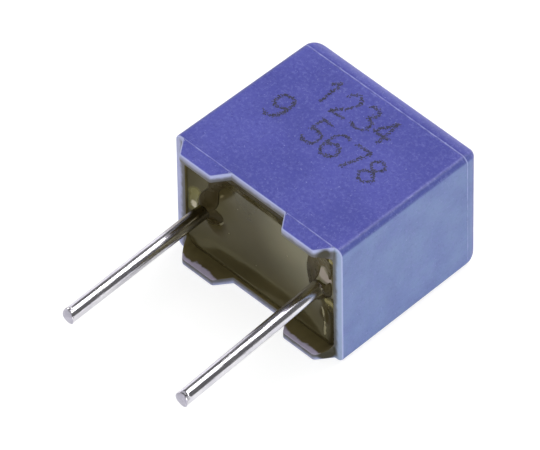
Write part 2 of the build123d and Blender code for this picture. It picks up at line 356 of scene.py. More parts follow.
class CaseQuarter:
    """One quarter of the case, as stations along its cross-section, from wall to wall."""

    def __init__(self):
        slope = math.atan2(RIM, (FOOT_BASE - FOOT_TIP) / 2)
        half = math.tan(slope / 2)
        side = RIM / math.sin(slope) - (BASE_CORNER + FOOT_CORNER) * half
        corner_start = CASE_LENGTH / 2 - RIM * LEAN - LONG_EDGE
        near = FOOT_MIDDLE - FOOT_BASE / 2 - BASE_CORNER * half
        far = corner_start - (FOOT_MIDDLE + FOOT_BASE / 2 + BASE_CORNER * half)
        tip = FOOT_TIP - 2 * FOOT_CORNER * half
        foot = [(BASE_CORNER, -slope, BASE_STEPS), (side, 0, SIDE_STEPS), (FOOT_CORNER, slope, TIP_STEPS)]
        moves = [(near, 0, RUN_STEPS), *foot, (tip, 0, RUN_STEPS), *foot[::-1], (far, 0, END_STEPS)]
        rim = walk((0, RIM), moves)
        turns = np.radians(np.linspace(0, 90, CORNER_STEPS + 1))[1:]
        rest = len(turns) + len(END_SHARES)
        self.along = np.concatenate([rim[:, 0], np.full(rest, rim[-1, 0])])
        self.rim_y = np.concatenate([rim[:, 1], np.full(rest, RIM)])
        heading = np.concatenate([rim[:, 2], np.zeros(rest)])
        self.in_x = -np.sin(heading)
        self.in_y = np.cos(heading)
        self.phi = np.concatenate([np.zeros(len(rim)), turns, np.full(len(END_SHARES), math.pi / 2)])
        self.across = np.concatenate([np.ones(len(rim) + len(turns)), END_SHARES])
        self.on_wall = np.arange(len(self.along)) < len(rim) - 1
        foot_end = FOOT_MIDDLE + FOOT_BASE / 2
        self.inner_limit = INNER_X - CAVITY_CORNER
        round_foot = np.clip((self.along - self.inner_limit) / (foot_end - self.inner_limit), 0, 1)
        past_foot = np.clip((self.along - foot_end) / far, 0, 1) + self.phi / (math.pi / 2)
        self.alpha = np.radians(CORNER_BY_FOOT * round_foot + (90 - CORNER_BY_FOOT) / 2 * past_foot)

    def behind_rim(self, depth):
        """Y and X at that depth behind the rim, square to it."""
        return self.rim_y + depth * self.in_y, self.along + depth * self.in_x

    def outer(self, y, x=None, sunk=0.0):
        """Points of the outer wall at height y, or that far inside it."""
        y = np.broadcast_to(np.asarray(y, dtype=float), self.along.shape)
        x = self.along if x is None else x
        centre_x = CASE_LENGTH / 2 - y * LEAN - LONG_EDGE
        centre_z = CASE_THICKNESS / 2 - y * LEAN - LONG_EDGE
        above = np.clip(RIM - y, 0, None)
        lean = above * (FOOT_BEVEL / RIM - LEAN)
        reach = LONG_EDGE - sunk
        flat_x = np.where(self.on_wall, np.minimum(x, centre_x), centre_x)
        return np.stack([
            flat_x + reach * np.sin(self.phi),
            y,
            self.across * centre_z + reach * np.cos(self.phi) - np.where(self.phi == 0, lean, 0),
        ], axis=-1)

    def inner(self, y, x=None, out=0.0, shrink=0.0):
        """Points of the cavity's wall at height y, that far into the wall or drawn in."""
        y = np.broadcast_to(np.asarray(y, dtype=float), self.along.shape)
        x = self.along if x is None else x
        radius = max(CAVITY_CORNER - shrink, LEAST_CORNER)
        centre_x = INNER_X - y * LEAN - shrink - radius
        centre_z = INNER_Z - y * LEAN - shrink - radius
        wall = np.minimum(x, centre_x * np.minimum(1, x / self.inner_limit))
        return np.stack([
            wall + (radius + out) * np.sin(self.alpha),
            y,
            self.across * centre_z + (radius + out) * np.cos(self.alpha),
        ], axis=-1)

    def rolled(self, theta):
        """Centres, normals and points of the rolled end, theta from 0 at the walls to a quarter turn."""
        middle_y = CASE_HEIGHT - CLOSED_EDGE
        offset = middle_y * LEAN + CLOSED_EDGE / math.cos(DRAFT)
        small = CLOSED_EDGE - LONG_EDGE
        centre_x = CASE_LENGTH / 2 - offset + small * math.cos(theta)
        centre_z = CASE_THICKNESS / 2 - offset + small * math.cos(theta)
        first_x = CASE_LENGTH / 2 - offset + small
        share = np.minimum(np.where(self.on_wall, self.along / first_x, 1), 1)
        towards_z = np.array([0, math.sin(theta), math.cos(theta)])
        towards_x = np.array([math.cos(theta), math.sin(theta), 0])
        angle = math.acos(min(1, math.sin(theta) ** 2))
        part = self.phi / (math.pi / 2)
        normal = (
            np.outer(np.sin((1 - part) * angle), towards_z) + np.outer(np.sin(part * angle), towards_x)
        ) / math.sin(angle)
        centre = np.stack([
            share * centre_x,
            np.full(len(share), middle_y + small * math.sin(theta)),
            self.across * centre_z,
        ], axis=-1)
        return centre, normal, centre + LONG_EDGE * normal


def case_rings():
    """Rings from the middle of the closed end, over the outside and the rim, down the cavity."""
    quarter = CaseQuarter()
    flat = quarter.rolled(math.radians(ROLL_ANGLES[0]))[0]
    height = np.full(len(flat), CASE_HEIGHT)
    rings = [np.stack([flat[:, 0] * FLAT_SHARE, height, flat[:, 2] * FLAT_SHARE], axis=-1)]
    rings += [quarter.rolled(math.radians(degrees))[2] for degrees in ROLL_ANGLES]
    for degrees, depth in GROOVE_RINGS:
        _, normal, points = quarter.rolled(math.radians(degrees))
        rings.append(points - depth * PARTING_GROOVE * normal)
    heights = [CASE_HEIGHT - CLOSED_EDGE - gap for gap in BELOW_ROLL] + list(WALL_HEIGHTS)
    rings += [quarter.outer(y) for y in heights]
    near_y, near_x = quarter.behind_rim(RIM_EDGE + EDGE_GAP)
    rings += [quarter.outer(np.maximum(RIM + offset, near_y + least)) for offset, least in BESIDE_RIM]
    rings.append(quarter.outer(near_y, near_x))
    for turn in np.radians(RIM_ANGLES):
        y, x = quarter.behind_rim(RIM_EDGE * (1 - math.sin(turn)))
        rings.append(quarter.outer(y, x, RIM_EDGE * (1 - math.cos(turn))))
    outside = len(rings)
    for turn in np.radians(INNER_ANGLES):
        y, x = quarter.behind_rim(INNER_EDGE * (1 - math.cos(turn)))
        rings.append(quarter.inner(y, x, INNER_EDGE * (1 - math.sin(turn))))
    for y in CAVITY_HEIGHTS:
        rings.append(quarter.inner(np.maximum(y, quarter.rim_y + INNER_EDGE + INNER_GAP)))
    for turn in np.radians(FLOOR_ANGLES):
        y = CAVITY_FLOOR - FLOOR_EDGE * (1 - math.sin(turn))
        rings.append(quarter.inner(y, shrink=FLOOR_EDGE * (1 - math.cos(turn))))
    return [mirrored_ring(ring) for ring in rings], outside


def make_case(plastic, coated):
    """The moulded case: bare plastic outside and on the rim, coated plastic in the mouth."""
    rings, outside = case_rings()
    count = len(rings[0])
    faces = ring_faces(len(rings), count)
    inside_from = (outside + 1) * count
    last = (len(rings) - 1) * count
    inner_faces = faces[inside_from:]
    outer_faces = faces[:inside_from] + [tuple(range(count))]
    faces = outer_faces + inner_faces + [tuple(range(last, last + count))]
    add_piece(
        "moulded_case", np.array(rings), faces, [plastic, coated],
        nodes=["case"], second_from=len(outer_faces),
    )


def smooth_meniscus(gap, length):
    """How much of its full climb the resin has left at that distance from what it wets."""
    return np.exp(-np.clip(gap, 0, None) / length)


def bank(inward, width, slope):
    """Rise of a bank of resin along a wall, at that distance from the wall."""
    return slope * BANK_SOFTNESS * np.logaddexp(0, (width - inward) / BANK_SOFTNESS)


def resin_height(x, z):
    """Y of the resin's hollow surface: it climbs the walls and the wires."""
    near_side = smooth_meniscus(INNER_X - np.abs(x), CLIMB_LENGTH)
    near_wall = smooth_meniscus(INNER_Z - np.abs(z), CLIMB_LENGTH)
    climb = (RESIN_MIDDLE - RESIN_EDGE) * (1 - (1 - near_side) * (1 - near_wall))
    climb += bank(INNER_Z + z, BANK_WIDTH, BANK_SLOPE) * (1 - near_side)
    climb += bank(INNER_Z - z, UPPER_BANK_WIDTH, UPPER_BANK_SLOPE) * (1 - near_side)
    for lead in LEADS.values():
        gap = np.hypot(x - lead["x"], z - lead["z"]) - LEAD_RADIUS
        share = smooth_meniscus(gap, COLLAR_LENGTH)
        climb += (RESIN_MIDDLE - RESIN_ON_WIRE - climb) * share
    for start, end, width, rise, _, _ in RESIN_RISES_AND_PAINTED_LIGHT:
        run_x, run_z = end[0] - start[0], end[1] - start[1]
        along = ((x - start[0]) * run_x + (z - start[1]) * run_z) / (run_x ** 2 + run_z ** 2)
        along = np.clip(along, 0, 1)
        gap = np.hypot(x - start[0] - along * run_x, z - start[1] - along * run_z)
        climb += rise * np.exp(-((gap / width) ** 2))
    return np.clip(RESIN_MIDDLE - climb, RESIN_EDGE, None)


def rounded_outline(x, z, half_x, half_z, reach_x, reach_z):
    """Where a point on the border of the middle field lands on the cavity's rounded wall."""
    on_wall = np.abs(z) >= half_z - 1e-9
    first = np.where(on_wall, np.abs(x), np.abs(z))
    second = np.where(on_wall, half_x, half_z)
    straight = np.where(on_wall, reach_x, reach_z) - CAVITY_CORNER
    total = straight + CAVITY_CORNER * math.pi / 4
    along = first + (total - second) * (first / second) ** CORNER_EASE
    over = np.clip(along - straight, 0, None) / CAVITY_CORNER
    first_out = np.minimum(along, straight) + CAVITY_CORNER * np.sin(over)
    second_out = np.where(on_wall, reach_z, reach_x) - CAVITY_CORNER * (1 - np.cos(over))
    out_x = np.where(on_wall, first_out, second_out)
    out_z = np.where(on_wall, second_out, first_out)
    return np.copysign(out_x, x), np.copysign(out_z, z)


def make_resin(material):
    """Block of resin in the cavity: a fine field in the middle, rings out to the wall, a skirt."""
    reach_x = INNER_X - RESIN_EDGE * LEAN - RESIN_GAP
    reach_z = INNER_Z - RESIN_EDGE * LEAN - RESIN_GAP
    half_x, half_z = reach_x - BORDER, reach_z - BORDER
    across = np.linspace(-half_x, half_x, FIELD_COLUMNS + 1)
    up = np.linspace(-half_z, half_z, FIELD_ROWS + 1)
    grid_x, grid_z = np.meshgrid(across, up)
    field = np.stack([grid_x, resin_height(grid_x, grid_z), grid_z], axis=-1).reshape(-1, 3)
    index = np.arange(len(field)).reshape(FIELD_ROWS + 1, FIELD_COLUMNS + 1)
    corners = (index[:-1, :-1], index[:-1, 1:], index[1:, 1:], index[1:, :-1])
    faces = np.stack(corners, axis=-1).reshape(-1, 4).tolist()
    sides = (index[0, :-1], index[:-1, -1], index[-1, :0:-1], index[:0:-1, 0])
    border = np.concatenate(sides).tolist()
    count = len(border)
    inner_x, inner_z = field[border, 0], field[border, 2]
    outer_x, outer_z = rounded_outline(inner_x, inner_z, half_x, half_z, reach_x, reach_z)
    rings = []
    for step in range(1, BORDER_RINGS + 1):
        share = 1 - (1 - step / BORDER_RINGS) ** BORDER_EASE
        x = inner_x + (outer_x - inner_x) * share
        z = inner_z + (outer_z - inner_z) * share
        rings.append(np.stack([x, resin_height(x, z), z], axis=-1))
    for y, shrink in SKIRT_RINGS:
        lean = (y - RESIN_EDGE) * LEAN + shrink
        scale_x, scale_z = 1 - lean / reach_x, 1 - lean / reach_z
        rings.append(np.stack([outer_x * scale_x, np.full(count, y), outer_z * scale_z], axis=-1))
    points = np.concatenate([field] + rings)
    start = len(field)
    for k in range(count):
        after = (k + 1) % count
        faces.append((border[k], border[after], start + after, start + k))
    faces += ring_faces(len(rings), count, start)
    last = start + (len(rings) - 1) * count
    faces.append(tuple(range(last, last + count)))
    add_piece("potting_compound", points, faces, [material], nodes=["potting_resin"])


def curve_through(points, steps, closed=False):
    """A smooth curve through the given points."""
    points = np.array(points, dtype=float)
    before, after = (points[-1:], points[:2]) if closed else (points[:1], points[-1:])
    padded = np.concatenate([before, points, after])
    a, b, c, d = padded[:-3], padded[1:-2], padded[2:-1], padded[3:]
    square, cube = 2 * a - 5 * b + 4 * c - d, 3 * b - a - 3 * c + d
    shares = np.arange(steps) / steps
    curve = [0.5 * (2 * b + (c - a) * t + square * t ** 2 + cube * t ** 3) for t in shares]
    curve = np.stack(curve, axis=1).reshape(-1, 2)
    return curve if closed else np.concatenate([curve, points[-1:]])


def make_webs_and_shade(material):
    """Thin dark sheets, draped on the resin's surface, with edges that run into it: webs of resin, and
    one of painted shade under the upper wall.
    """
    points, faces = [], []
    for corners, middle, thickness in WEBS_AND_SHADE:
        outline = curve_through(corners, WEB_CURVE_STEPS, closed=True)
        middle = np.array(middle)
        faces += capped_rings(len(WEB_RINGS), len(outline), len(points))
        for share, raised in WEB_RINGS:
            x, z = (middle + (outline - middle) * share).T
            y = resin_height(x, z) - raised * thickness
            points += np.stack([x, y, z], axis=-1).tolist()
    add_piece("resin_webs_and_shade", points, faces, [material])


def wire_centres(lead):
    """Centres and headings along the wire, from its weld to just before its tip; the tip, its heading."""
    start = np.array([lead["x"], WELD_END, lead["z"]])
    corner = np.array([lead["x"], BEND_START, lead["z"]])
    tip = np.array([lead["x"] + lead["sway"], -lead["length"], lead["z"] - lead["droop"]])
    first = np.array([0.0, -1.0, 0.0])
    second = (tip - corner) / np.linalg.norm(tip - corner)
    bend = math.acos(np.dot(first, second))
    back = BEND_RADIUS * math.tan(bend / 2)
    side = (second - first * math.cos(bend)) / math.sin(bend)
    enter = corner - back * first
    centres = [(start + (enter - start) * share, first) for share in np.linspace(0, 1, WELD_STEPS)]
    for turn in np.linspace(0, bend, BEND_STEPS + 1)[1:]:
        centre = enter + BEND_RADIUS * (math.sin(turn) * first + (1 - math.cos(turn)) * side)
        centres.append((centre, math.cos(turn) * first + math.sin(turn) * side))
    leave = centres[-1][0]
    shares = np.linspace(0, OUTER_SHARE, OUTER_STEPS)[1:]
    centres += [(leave + (tip - leave) * share, second) for share in shares]
    return centres, tip, second


def make_wire(name, lead, material, node):
    """Straight, a slight bend, straight again, and a sheared end with a small burr."""
    centres, tip, heading = wire_centres(lead)
    around = np.linspace(0, 2 * math.pi, WIRE_SIDES, endpoint=False)
    rings = []
    for centre, direction in centres:
        u = np.cross(direction, (1.0, 0.0, 0.0))
        u /= np.linalg.norm(u)
        v = np.cross(direction, u)
        rings.append(centre + LEAD_RADIUS * (np.outer(np.cos(around), u) + np.outer(np.sin(around), v)))
    skew = math.radians(lead["skew"])
    cut = np.array([
        math.sin(skew), -math.cos(skew) * math.cos(SHEAR_ANGLE), math.cos(skew) * math.sin(SHEAR_ANGLE),
    ])
    spokes = rings[-1] - centres[-1][0]
    burr_way = np.array(BURR_WAY) / np.linalg.norm(BURR_WAY)
    near_burr = np.clip((spokes @ burr_way) / LEAD_RADIUS, 0, 1) ** BURR_SHARPNESS
    for inset, setback in CUT_RINGS:
        burr = BURR / LEAD_RADIUS * near_burr * (1 - setback / CUT_DEPTH)
        shape = tip - setback * heading + spokes * (1 - inset / LEAD_RADIUS + burr)[:, None]
        reach = ((tip - setback * heading - shape) @ cut) / (heading @ cut)
        rings.append(shape + np.outer(np.minimum(reach, 0), heading))
    for inset in CUT_INSETS:
        rings.append(tip + (rings[-1] - tip) * (1 - inset))
    faces = capped_rings(len(rings), WIRE_SIDES)
    add_piece(name, np.array(rings), faces, [material], nodes=[node])


def figure_strokes(figure):
    """Strokes of a plain figure in a box 0.6 wide and 1 high."""

    def smooth(points):
        return curve_through(points, CURVE_STEPS)

    bowl = [(0.3, 0.56), (0.54, 0.44), (0.55, 0.12), (0.3, 0), (0.04, 0.1)]
    hook = [(0.52, 0.92), (0.32, 1), (0.1, 0.82), (0.03, 0.4), (0.1, 0.08), (0.32, 0), (0.55, 0.12)]
    loop = hook + [(0.55, 0.42), (0.32, 0.56), (0.06, 0.4)]
    drawn = {
        "1": [[(0.12, 0.78), (0.34, 1), (0.34, 0)]],
        "2": [
            smooth([(0.05, 0.8), (0.28, 1), (0.54, 0.8), (0.42, 0.45), (0.04, 0)]),
            [(0.04, 0), (0.57, 0)],
        ],
        "3": [smooth([(0.06, 0.92), (0.28, 1), (0.5, 0.8), (0.3, 0.56)]), smooth(bowl)],
        "4": [[(0.42, 0), (0.42, 1), (0.03, 0.3), (0.6, 0.3)]],
        "5": [[(0.52, 1), (0.12, 1), (0.08, 0.52)], smooth([(0.08, 0.52)] + bowl)],
        "6": [smooth(loop)],
        "7": [[(0.03, 1), (0.57, 1), (0.22, 0)]],
        "8": [smooth([
            (0.3, 0.54), (0.07, 0.78), (0.3, 1), (0.53, 0.78), (0.3, 0.54),
            (0.03, 0.26), (0.3, 0), (0.57, 0.26), (0.3, 0.54),
        ])],
        "9": [np.array([0.6, 1.0]) - smooth(loop)],
    }
    return [np.array(stroke, dtype=float) for stroke in drawn[figure]]


def ink_dot(x, y, radii):
    """Rings of one flat dot of ink on the upper face, with that radius towards each of its sides."""
    points = []
    around = np.linspace(0, 2 * math.pi, DOT_SIDES, endpoint=False)
    for height, share in INK_RINGS:
        for angle, radius in zip(around, radii):
            dot_y = y + share * radius * math.sin(angle)
            z = CASE_THICKNESS / 2 - dot_y * LEAN + height
            points.append((x + share * radius * math.cos(angle), dot_y, z))
    return points


def make_print(material):
    """Figures made of small irregular dots of ink that overlap along each stroke."""
    chance = np.random.default_rng(INK_SEED)
    points, faces = [], []
    for row, row_x, row_y, slant in FIGURE_ROWS:
        turn = math.radians(slant)
        for number, figure in enumerate(row):
            for stroke in figure_strokes(figure):
                lengths = np.hypot(*np.diff(stroke, axis=0).T) * FIGURE_HEIGHT
                reach = np.concatenate([[0], np.cumsum(lengths)])
                places = np.arange(0, reach[-1], DOT_GAP)
                spots = [np.interp(places, reach, way) * FIGURE_HEIGHT for way in stroke.T]
                stray = chance.normal(0, STROKE / 2, (len(places), 2))
                for u, v in np.transpose(spots) + stray:
                    x = row_x + number * FIGURE_PITCH + u * math.cos(turn) - v * math.sin(turn)
                    y = row_y + u * math.sin(turn) + v * math.cos(turn)
                    size = DOT_RADIUS * chance.uniform(*DOT_SPREAD)
                    faces += capped_rings(len(INK_RINGS), DOT_SIDES, len(points))
                    points += ink_dot(x, y, size * chance.uniform(*DOT_WOBBLE, DOT_SIDES))
    add_piece("printed_figures", points, faces, [material])


class Nodes:
    """Short calls for building a node tree."""

    def __init__(self, owner):
        self.owner = owner
        self.tree = owner.node_tree
        self.tree.nodes.clear()

    def fill(self, socket, value):
        """Link another node's output to the socket, or set its value."""
        if isinstance(value, bpy.types.NodeSocket):
            self.tree.links.new(value, socket)
        elif socket.type == "RGBA":
            socket.default_value = (*value, 1.0)
        else:
            socket.default_value = value

    def add(self, kind, inputs=None, **settings):
        """Outputs of a new node with those settings, and those values or links for its inputs."""
        made = self.tree.nodes.new("ShaderNode" + kind)
        for key, value in settings.items():
            setattr(made, key, value)
        for key, value in (inputs or {}).items():
            self.fill(made.inputs[key], value)
        return made.outputs

    def math(self, operation, first, second=0.0, clamp=False):
        inputs = {0: first, 1: second}
        return self.add("Math", inputs, operation=operation, use_clamp=clamp)[0]

    def product(self, first, *others):
        for other in others:
            first = self.math("MULTIPLY", first, other)
        return first

    def absolute(self, value):
        return self.math("ABSOLUTE", value)

    def vector(self, operation, first, second, output="Vector"):
        inputs = {0: first, 1: second}
        return self.add("VectorMath", inputs, operation=operation)[output]

    def scaled(self, vector, scale):
        inputs = {0: vector, "Scale": scale}
        return self.add("VectorMath", inputs, operation="SCALE")[0]

    def noise(self, vector, scale, detail=3.0, roughness=0.5):
        inputs = {"Vector": vector, "Scale": scale, "Detail": detail, "Roughness": roughness}
        return self.add("TexNoise", inputs)["Fac"]

    def ramp(self, value, low, high, to_low=0.0, to_high=1.0):
        """Smooth step from one value to another while the value runs from low to high."""
        inputs = {
            "Value": value, "From Min": low, "From Max": high, "To Min": to_low, "To Max": to_high,
        }
        return self.add("MapRange", inputs, interpolation_type="SMOOTHSTEP")["Result"]

    def fade(self, value, low, high, top=1.0):
        return self.ramp(value, low, high, top, 0.0)

    def spread(self, noise, to_low=0.0, to_high=1.0):
        """Most of a noise's range, brought between two other values."""
        return self.ramp(noise, *NOISE_RANGE, to_low, to_high)

    def band(self, value, middle, half_width):
        """One along a narrow band of the value, nought away from it."""
        off = self.absolute(self.math("SUBTRACT", value, middle))
        return self.fade(off, half_width * 0.5, half_width * 1.5)

    def mix(self, share, first, second):
        """Two colours mixed; the colour sockets of a mix node have no names of their own."""
        return self.add("Mix", {0: share, 6: first, 7: second}, data_type="RGBA")[2]

    def millimetres(self):
        """Position in the row frame, in millimetres."""
        place = self.add("TexCoord")["Object"]
        return self.stretched(place, (1 / MM, 1 / MM, 1 / MM))

    def stretched(self, vector, scale):
        return self.add("Mapping", {"Vector": vector, "Scale": scale})[0]

    def parts(self, vector):
        return self.add("SeparateXYZ", {"Vector": vector})

    def facing(self):
        """X, Y and Z of the surface's direction, in the row frame."""
        return self.parts(self.add("TexCoord")["Normal"])

    def distance_to_run(self, place, start, end):
        """Distance from a straight run between two (X, Z) places of the resin's surface."""
        flat = self.vector("MULTIPLY", place, (1, 0, 1))
        away = self.vector("SUBTRACT", flat, (start[0], 0, start[1] + CASE_THICKNESS / 2))
        run = (end[0] - start[0], 0, end[1] - start[1])
        along = self.vector("DOT_PRODUCT", away, run, "Value")
        share = self.math("DIVIDE", along, run[0] ** 2 + run[2] ** 2, clamp=True)
        return self.vector("DISTANCE", away, self.scaled(run, share), "Value")

    def bump(self, height, distance, strength, normal=None):
        """Relief of that many millimetres, on top of another relief if there is one."""
        inputs = {"Height": height, "Distance": distance * MM, "Strength": strength}
        if normal is not None:
            inputs["Normal"] = normal
        return self.add("Bump", inputs)[0]

    def blend(self, share, first, second):
        return self.add("MixShader", {0: share, 1: first, 2: second})[0]

    def surface(self, shader):
        """The material, finished with that shader."""
        self.add("OutputMaterial", {"Surface": shader})
        return self.owner

    def principled(self, inputs):
        return self.surface(self.add("BsdfPrincipled", inputs)[0])


def new_material(name):
    material = bpy.data.materials.new(name)
    material.use_nodes = True
    return Nodes(material)


def blue_plastic(nodes, place, facing):
    """Colour and grain: clouds, dust and scratches, end walls drawn paler as a painted sheen, and slanted
    edges drawn darker as painted shade.
    """
    cloud = nodes.ramp(nodes.noise(place, 0.55, 4.0), 0.35, 0.65)
    colour = nodes.mix(cloud, PLASTIC["deep"], PLASTIC["clear"])
    # Painted sheen: the end walls are drawn paler and more cyan
    end_wall_sheen = nodes.ramp(nodes.absolute(facing["X"]), 0.82, 0.97)
    mottle = nodes.spread(nodes.noise(place, 1.1, 4.0, 0.6), 0.55, 0.85)
    colour = nodes.mix(nodes.product(end_wall_sheen, mottle), colour, PLASTIC["end wall sheen"])
    # Painted shade: the slanted long edges are drawn darker
    slant = nodes.product(nodes.absolute(facing["X"]), nodes.absolute(facing["Z"]))
    colour = nodes.mix(nodes.ramp(slant, 0.2, 0.42, 0.0, 0.65), colour, PLASTIC["shaded slanted edge"])
    grain = nodes.noise(place, 8.5, 4.0, 0.8)
    colour = nodes.mix(nodes.ramp(grain, 0.46, 0.72, 0.0, 0.42), colour, PLASTIC["pale grain"])
    dark = nodes.ramp(nodes.noise(place, 10.0, 3.0, 0.7), 0.52, 0.72, 0.0, 0.6)
    dark = nodes.product(dark, nodes.ramp(end_wall_sheen, 0.0, 1.0, 1.0, 0.4))
    colour = nodes.mix(dark, colour, PLASTIC["dark grain"])
    speck = nodes.ramp(nodes.noise(place, 15.0, 2.0), 0.68, 0.75, 0.0, 0.4)
    colour = nodes.mix(speck, colour, PLASTIC["speck"])
    for stretch in SCRATCH_WAYS:
        scratch = nodes.noise(nodes.stretched(place, stretch), 1.3, 2.0)
        colour = nodes.mix(nodes.ramp(scratch, 0.71, 0.78, 0.0, 0.3), colour, PLASTIC["scratch"])
    return colour, grain


def moulding_lines(nodes, split, facing):
    """One on the faint lines across the feet and where the walls meet the rolled end, for their relief
    and for a painted highlight along them.
    """
    foot_line = nodes.band(split["Y"], FOOT_LINE - CASE_HEIGHT / 2, 0.02)
    beside = nodes.ramp(nodes.absolute(split["X"]), 1.1, 1.25)
    foot_line = nodes.product(foot_line, beside, nodes.ramp(facing["Z"], 0.9, 1.0))
    end_line = nodes.band(split["Y"], CASE_HEIGHT / 2 - CLOSED_EDGE, 0.022)
    return nodes.math("MAXIMUM", foot_line, end_line)


def lit_and_stained_rim(nodes, place, split, facing, colour):
    """Rim faces drawn pale as a painted reflection, with a painted highlight on their outer edges, brown
    where the resin wetted them or ran over.
    """
    # The rim faces are drawn pale, a painted reflection of the bright floor, with their own shades on the
    # two ends
    across_x = nodes.ramp(split["X"], -1.0, 1.0)
    end_rim_reflection = nodes.mix(across_x, PLASTIC["left rim reflection"], PLASTIC["right rim reflection"])
    on_end = nodes.ramp(nodes.absolute(split["X"]), 3.15, 3.35)
    bare = nodes.mix(on_end, PLASTIC["rim"], end_rim_reflection)
    colour = nodes.mix(nodes.fade(facing["Y"], -0.85, -0.35, 0.85), colour, bare)
    past_z = nodes.absolute(nodes.math("SUBTRACT", split["Z"], CASE_THICKNESS / 2))
    past_z = nodes.math("SUBTRACT", past_z, INNER_Z)
    past_x = nodes.math("SUBTRACT", nodes.absolute(split["X"]), INNER_X)
    patchy = nodes.product(nodes.noise(place, 4.0), 0.13)
    from_mouth = nodes.math("SUBTRACT", nodes.math("MAXIMUM", past_x, past_z), patchy)
    # Painted highlight along the rim's rounded outer edge
    rim_edge_highlight = nodes.product(nodes.band(facing["Y"], -0.5, 0.3), 0.7)
    colour = nodes.mix(rim_edge_highlight, colour, PLASTIC["rim edge highlight"])
    wetted = nodes.fade(facing["Y"], -0.4, -0.15)
    stained = nodes.product(nodes.fade(from_mouth, 0.0, 0.17, 0.85), wetted)
    colour = nodes.mix(stained, colour, PLASTIC["resin film"])
    for spill, reach in SPILLS:
        gap = nodes.math("ADD", nodes.vector("DISTANCE", place, spill, "Value"), patchy)
        share = nodes.product(nodes.fade(gap, reach, reach + 0.15), wetted)
        colour = nodes.mix(share, colour, PLASTIC["spilled resin"])
    return colour


def case_plastic():
    """Blue moulded plastic: grained and scuffed, with moulding lines that carry a painted highlight, and
    a rim with painted reflection and highlight, stained by resin.
    """
    nodes = new_material("case_plastic")
    place = nodes.millimetres()
    split, facing = nodes.parts(place), nodes.facing()
    colour, grain = blue_plastic(nodes, place, facing)
    moulding_line_and_highlight = moulding_lines(nodes, split, facing)
    broken = nodes.spread(nodes.noise(place, 3.0), 0.1, 0.6)
    # Painted highlight along the moulding lines, broken up by noise
    colour = nodes.mix(nodes.product(moulding_line_and_highlight, broken), colour, PLASTIC["moulding line highlight"])
    relief = nodes.bump(grain, 0.008, 0.7)
    relief = nodes.bump(moulding_line_and_highlight, 0.015, 0.8, relief)
    relief = nodes.bump(nodes.noise(place, 0.9, 2.0), 0.02, 0.35, relief)
    return nodes.principled({
        "Base Color": lit_and_stained_rim(nodes, place, split, facing, colour),
        "Roughness": nodes.spread(nodes.noise(place, 2.2), 0.38, 0.48), "IOR": 1.48, "Normal": relief,
    })


def coated_plastic():
    """Inner walls: brown where the resin wetted them, pale lilac where it ran off."""
    nodes = new_material("coated_plastic")
    place = nodes.millimetres()
    patchy = nodes.product(nodes.noise(place, 2.6, 4.0), 0.35)
    bare = nodes.fade(nodes.math("ADD", nodes.parts(place)["Y"], patchy), -3.1, -3.0)
    film = nodes.mix(nodes.noise(place, 1.4), COATING["thin film"], COATING["thick film"])
    return nodes.principled({
        "Base Color": nodes.mix(bare, film, COATING["bare"]),
        "Roughness": nodes.ramp(bare, 0.0, 1.0, 0.16, 0.4), "IOR": 1.5,
        "Normal": nodes.bump(nodes.noise(place, 1.8, 2.0), 0.05, 0.4),
        "Specular Tint": COATING["gloss"],
    })


def potting_resin():
    """Cured epoxy: glossy brown olive, with a painted reflection that lightens one side, painted glows,
    highlights and shade along runs, and a few small bubbles.
    """
    nodes = new_material("potting_resin")
    place = nodes.millimetres()
    colour = nodes.mix(nodes.noise(place, 0.7), RESIN["dark"], RESIN["light"])
    # Painted reflection that lightens the resin towards the upper right
    milky = nodes.fade(nodes.vector("DISTANCE", place, REFLECTION_PLACE, "Value"), 0.3, 2.6, 0.85)
    colour = nodes.mix(milky, colour, RESIN["milky"])
    roughness = nodes.spread(nodes.noise(place, 3.0), 0.08, 0.16)
    wander = nodes.ramp(nodes.noise(place, 3.5, 2.0), 0.2, 0.8, -0.06, 0.06)
    # Each run paints its glow, highlight, reflection or shade into the colour
    for start, end, width, _, shade, matt in RESIN_RISES_AND_PAINTED_LIGHT:
        gap = nodes.math("ADD", nodes.distance_to_run(place, start, end), wander)
        share = nodes.fade(gap, width * 0.5, width * 1.5 + 0.01, 0.9)
        colour = nodes.mix(share, colour, shade)
        rougher = nodes.math("SUBTRACT", matt, roughness)
        roughness = nodes.math("ADD", roughness, nodes.product(share, rougher))
    bubble = nodes.add("TexVoronoi", {"Vector": place, "Scale": 1.6})["Distance"]
    dot = nodes.fade(bubble, 0.02, 0.05)
    relief = nodes.bump(nodes.noise(place, 1.1, 2.0), 0.03, 0.5)
    return nodes.principled({
        "Base Color": nodes.mix(nodes.product(dot, 0.7), colour, RESIN["bubble"]),
        "Roughness": roughness, "IOR": 1.49, "Normal": nodes.bump(dot, 0.02, 0.8, relief),
        "Specular Tint": RESIN["gloss"],
    })


def dark_resin_and_shade():
    """Dark sheets of the same epoxy, with little gloss: webs drawn out while it set, and a sheet of
    painted shade under the upper wall; painted light streaks on the webs to the upper right.
    """
    nodes = new_material("dark_resin_and_shade")
    place = nodes.millimetres()
    split = nodes.parts(place)
    cloud = nodes.noise(place, 1.6)
    streaks = nodes.noise(nodes.stretched(place, (2.0, 1.0, 1.0)), 1.3, 2.0)
    # Painted light: lighter streaks on the webs towards the upper right
    on_upper = nodes.ramp(split["Z"], 2.3, 3.4)
    lit = nodes.product(on_upper, nodes.spread(streaks, 0.3, 1.0), nodes.ramp(split["X"], 1.4, 1.7))
    return nodes.principled({
        "Base Color": nodes.mix(lit, nodes.mix(cloud, WEB["dark"], WEB["light"]), WEB["lit streak"]),
        "Roughness": nodes.spread(cloud, 0.22, 0.36), "Normal": nodes.bump(streaks, 0.02, 0.3),
        "Specular IOR Level": 0.14, "Specular Tint": WEB["gloss"],
    })


